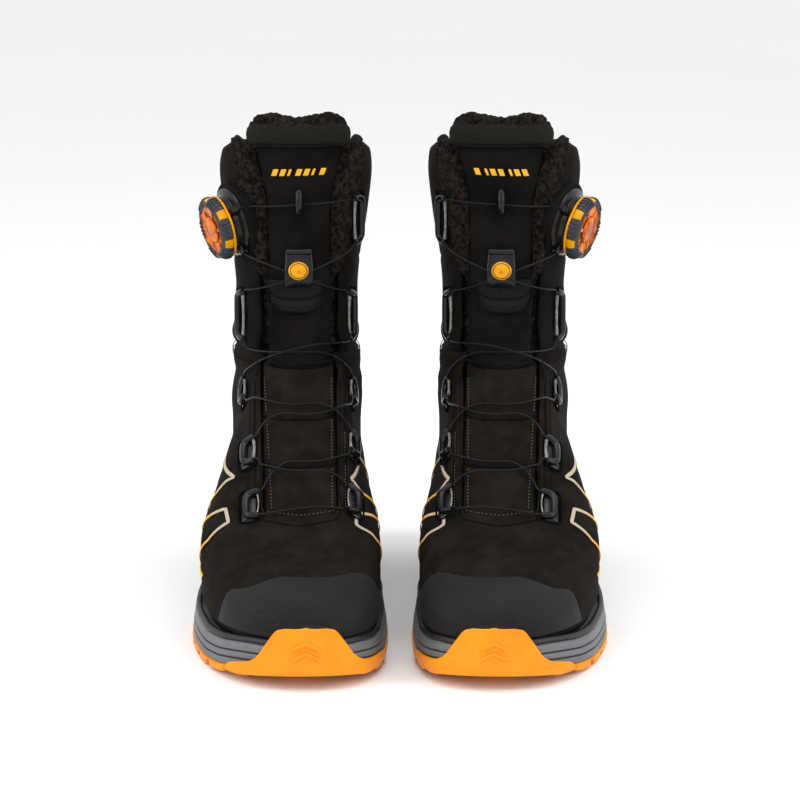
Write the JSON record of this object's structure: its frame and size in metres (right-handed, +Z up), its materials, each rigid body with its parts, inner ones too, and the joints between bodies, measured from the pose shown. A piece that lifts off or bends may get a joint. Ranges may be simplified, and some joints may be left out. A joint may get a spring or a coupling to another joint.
{
  "type": "mountaineering boots",
  "caption": "Pair of insulated high-cut mountain boots closed by a side dial and one steel cable, with pile-lined collar, rubber toe guard and lugged sole.",
  "frame": {"origin": "on the ground, under the middle of the pair's bounding box", "axes": "+Z up; +Y from the toes to the heels; +X from the right boot to the left boot, so the toes point along -Y"},
  "size_m": [0.2442, 0.3096, 0.293],
  "materials": {
    "nubuck": "black nubuck, matt",
    "soft_shell": "smooth black soft shell, matt",
    "pile": "dark brown pile",
    "knit": "black knitted mesh",
    "guard_rubber": "fine-textured black rubber",
    "midsole_foam": "grey foam rubber in layers",
    "outsole_rubber": "yellow-orange rubber, satin",
    "black_plastic": "glossy black plastic",
    "dial_plastic": "translucent amber plastic",
    "coated_steel": "black coated steel cable",
    "composite": "grey composite",
    "board_cloth": "woven puncture-resistant cloth",
    "footbed_foam": "felted foam"
  },
  "bodies": {
    "right_boot": {"right_outsole": "outsole_rubber", "right_midsole": "midsole_foam", "right_insole_board": "board_cloth", "right_insole": "footbed_foam", "right_toe_cap": "composite", "right_toe_guard": "guard_rubber", "right_heel_counter": "guard_rubber", "right_foot_upper": "nubuck", "right_cuff": "soft_shell", "right_pile_lining": "pile", "right_tongue_vamp": "nubuck", "right_dial_base": "black_plastic", "right_cable": "coated_steel", "right_cable_guide_medial_1": "black_plastic", "right_cable_guide_lateral_2": "black_plastic", "right_cable_guide_medial_2": "black_plastic", "right_cable_guide_lateral_3": "black_plastic", "right_cable_guide_medial_3": "black_plastic", "right_cable_guide_lateral_4": "black_plastic", "right_cable_guide_medial_4": "black_plastic", "right_cable_guide_lateral_5": "black_plastic", "right_cable_guide_medial_5": "black_plastic"},
    "right_tongue": {"right_tongue_shaft": "soft_shell", "right_tongue_top_band": "knit", "right_tongue_loop": "black_plastic", "right_tongue_tab": "black_plastic", "right_tongue_tab_patch": "knit"},
    "right_dial_hub": {"right_dial_core": "dial_plastic"},
    "right_knob": {"right_dial_knob": "dial_plastic"},
    "right_spool": {"right_dial_spool": "black_plastic"},
    "left_boot": {"left_outsole": "outsole_rubber", "left_midsole": "midsole_foam", "left_insole_board": "board_cloth", "left_insole": "footbed_foam", "left_toe_cap": "composite", "left_toe_guard": "guard_rubber", "left_heel_counter": "guard_rubber", "left_foot_upper": "nubuck", "left_cuff": "soft_shell", "left_pile_lining": "pile", "left_tongue_vamp": "nubuck", "left_dial_base": "black_plastic", "left_cable": "coated_steel", "left_cable_guide_medial_1": "black_plastic", "left_cable_guide_lateral_2": "black_plastic", "left_cable_guide_medial_2": "black_plastic", "left_cable_guide_lateral_3": "black_plastic", "left_cable_guide_medial_3": "black_plastic", "left_cable_guide_lateral_4": "black_plastic", "left_cable_guide_medial_4": "black_plastic", "left_cable_guide_lateral_5": "black_plastic", "left_cable_guide_medial_5": "black_plastic"},
    "left_tongue": {"left_tongue_shaft": "soft_shell", "left_tongue_top_band": "knit", "left_tongue_loop": "black_plastic", "left_tongue_tab": "black_plastic", "left_tongue_tab_patch": "knit"},
    "left_dial_hub": {"left_dial_core": "dial_plastic"},
    "left_knob": {"left_dial_knob": "dial_plastic"},
    "left_spool": {"left_dial_spool": "black_plastic"}
  },
  "joints": [
    {"name": "right_tongue_tilt", "type": "hinge", "parent": "right_boot", "child": "right_tongue", "pos_m": [-0.06032, 0.01891, 0.148], "axis": [0.9995, 0.0314, 0], "range_deg": [0, 20], "deforming": ["right_cable"]},
    {"name": "right_dial_release", "type": "slide", "parent": "right_boot", "child": "right_dial_hub", "axis": [-0.8768, -0.4277, -0.2199], "range_m": [0, 0.003]},
    {"name": "right_dial_turn", "type": "hinge", "parent": "right_dial_hub", "child": "right_knob", "pos_m": [-0.10114, 0.05855, 0.22962], "axis": [-0.8768, -0.4277, -0.2199], "continuous": true},
    {"name": "right_spool_turn", "type": "hinge", "parent": "right_boot", "child": "right_spool", "pos_m": [-0.10114, 0.05855, 0.22962], "axis": [-0.8768, -0.4277, -0.2199], "continuous": true},
    {"name": "left_boot_apart", "type": "slide", "parent": "right_boot", "child": "left_boot", "axis": [1, 0, 0], "range_m": [0, 0.2]},
    {"name": "left_tongue_tilt", "type": "hinge", "parent": "left_boot", "child": "left_tongue", "pos_m": [0.06032, 0.01891, 0.148], "axis": [0.9995, -0.0314, 0], "range_deg": [0, 20], "deforming": ["left_cable"]},
    {"name": "left_dial_release", "type": "slide", "parent": "left_boot", "child": "left_dial_hub", "axis": [0.8768, -0.4277, -0.2199], "range_m": [0, 0.003]},
    {"name": "left_dial_turn", "type": "hinge", "parent": "left_dial_hub", "child": "left_knob", "pos_m": [0.10114, 0.05855, 0.22962], "axis": [0.8768, -0.4277, -0.2199], "continuous": true},
    {"name": "left_spool_turn", "type": "hinge", "parent": "left_boot", "child": "left_spool", "pos_m": [0.10114, 0.05855, 0.22962], "axis": [0.8768, -0.4277, -0.2199], "continuous": true}
  ],
  "couplings": [
    {"joint": "right_spool_turn", "follows": "right_dial_turn", "ratio": 1},
    {"joint": "left_spool_turn", "follows": "left_dial_turn", "ratio": 1}
  ]
}
